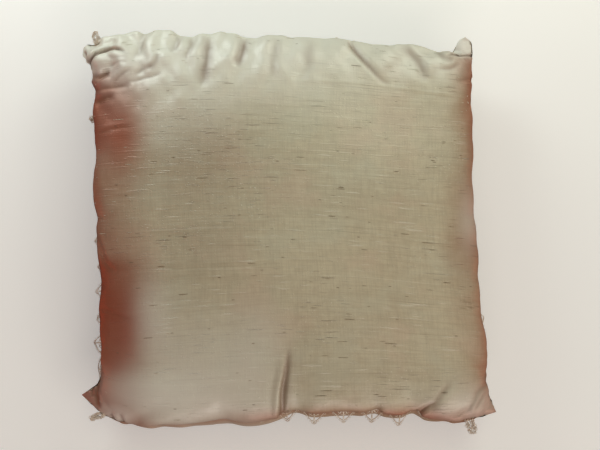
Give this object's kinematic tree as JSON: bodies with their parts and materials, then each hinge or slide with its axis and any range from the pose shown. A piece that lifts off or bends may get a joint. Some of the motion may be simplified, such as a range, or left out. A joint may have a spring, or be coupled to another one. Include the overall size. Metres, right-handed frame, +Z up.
{
  "type": "ring bearer pillow",
  "caption": "Square slub silk ring pillow with a bobbin lace edging, a muslin pad with fibre filling, and two satin ribbons tacked to its front.",
  "frame": {"origin": "under the middle of the pillow, on the surface it rests on", "axes": "+Z up through the plain back, +Y to the side opposite the hand-closed one, +X to the right seen from above"},
  "size_m": [0.209, 0.2102, 0.054],
  "materials": {
    "silk": "satin",
    "muslin": "matte",
    "filling": "matte",
    "lace": "matte",
    "thread": "matte",
    "ribbon": "satin"
  },
  "bodies": {
    "root": {"back_panel": "silk", "front_panel": "silk", "liner_back": "muslin", "liner_front": "muslin", "filling": "filling", "lace_top": "lace", "lace_bottom": "lace", "lace_left": "lace", "lace_right": "lace", "seam_thread": "thread", "closing_thread": "thread", "ring_ribbon_left": "ribbon", "ring_ribbon_right": "ribbon", "ribbon_tack_left": "thread", "ribbon_tack_right": "thread"}
  },
  "joints": []
}
